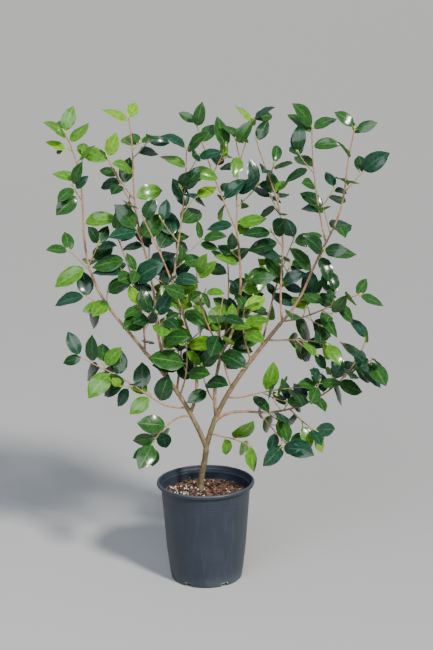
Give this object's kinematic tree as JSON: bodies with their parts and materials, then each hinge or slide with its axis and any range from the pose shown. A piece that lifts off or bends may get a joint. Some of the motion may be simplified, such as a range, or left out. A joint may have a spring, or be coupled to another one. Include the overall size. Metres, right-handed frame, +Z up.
{
  "type": "potted camellia shrub",
  "caption": "Evergreen camellia shrub trained flat as a fan of upright leaders on a short forked trunk, with glossy oval leaves, standing in a round tapered nursery pot.",
  "frame": {"origin": "centre of the pot's flat underside, on the ground", "axes": "+Z up along the trunk, +X to the right as seen from the front, -Y towards the viewer, square to the flat fan"},
  "size_m": [0.9152, 0.3113, 1.3405],
  "materials": {
    "pot": "dark blue-grey moulded plastic, slightly dusty satin",
    "potting_mix": "coarse brown bark chips with white grains of pumice",
    "bark": "smooth matt olive to tan bark with fine lengthwise cracks",
    "foliage": "glossy deep green leaves with pale veins, lighter when young"
  },
  "bodies": {
    "root": {"pot": "pot", "potting_mix": "potting_mix", "trunk": "bark", "bough_left": "bark", "bough_right": "bark", "bough_centre": "bark", "bough_inner_left": "bark", "bough_third_left": "bark", "bough_low_right": "bark", "bough_low_left": "bark", "bough_drop_left": "bark", "bough_low_twig_right": "bark", "bough_mid_left": "bark", "bough_low_mid": "bark", "bough_low_centre": "bark", "bough_low_back": "bark", "bough_low_front": "bark", "bough_mid_right": "bark", "bough_right_outer": "bark", "bough_back_left": "bark", "bough_back_centre": "bark", "bough_back_right": "bark", "bough_front_centre": "bark", "mass_left_leader": "foliage", "mass_left_second": "foliage", "mass_third_left": "foliage", "mass_inner_left": "foliage", "mass_young_centre": "foliage", "mass_centre_leader": "foliage", "mass_third_right": "foliage", "mass_right_leader": "foliage", "mass_right_side": "foliage", "mass_low_right": "foliage", "mass_low_left": "foliage", "mass_drop_left": "foliage", "mass_low_twig_right": "foliage", "mass_mid_left": "foliage", "mass_low_mid": "foliage", "mass_low_centre": "foliage", "mass_low_back": "foliage", "mass_low_front": "foliage", "mass_mid_right": "foliage", "mass_right_outer": "foliage", "mass_back_left": "foliage", "mass_back_centre": "foliage", "mass_back_right": "foliage", "mass_front_centre": "foliage"}
  },
  "joints": []
}
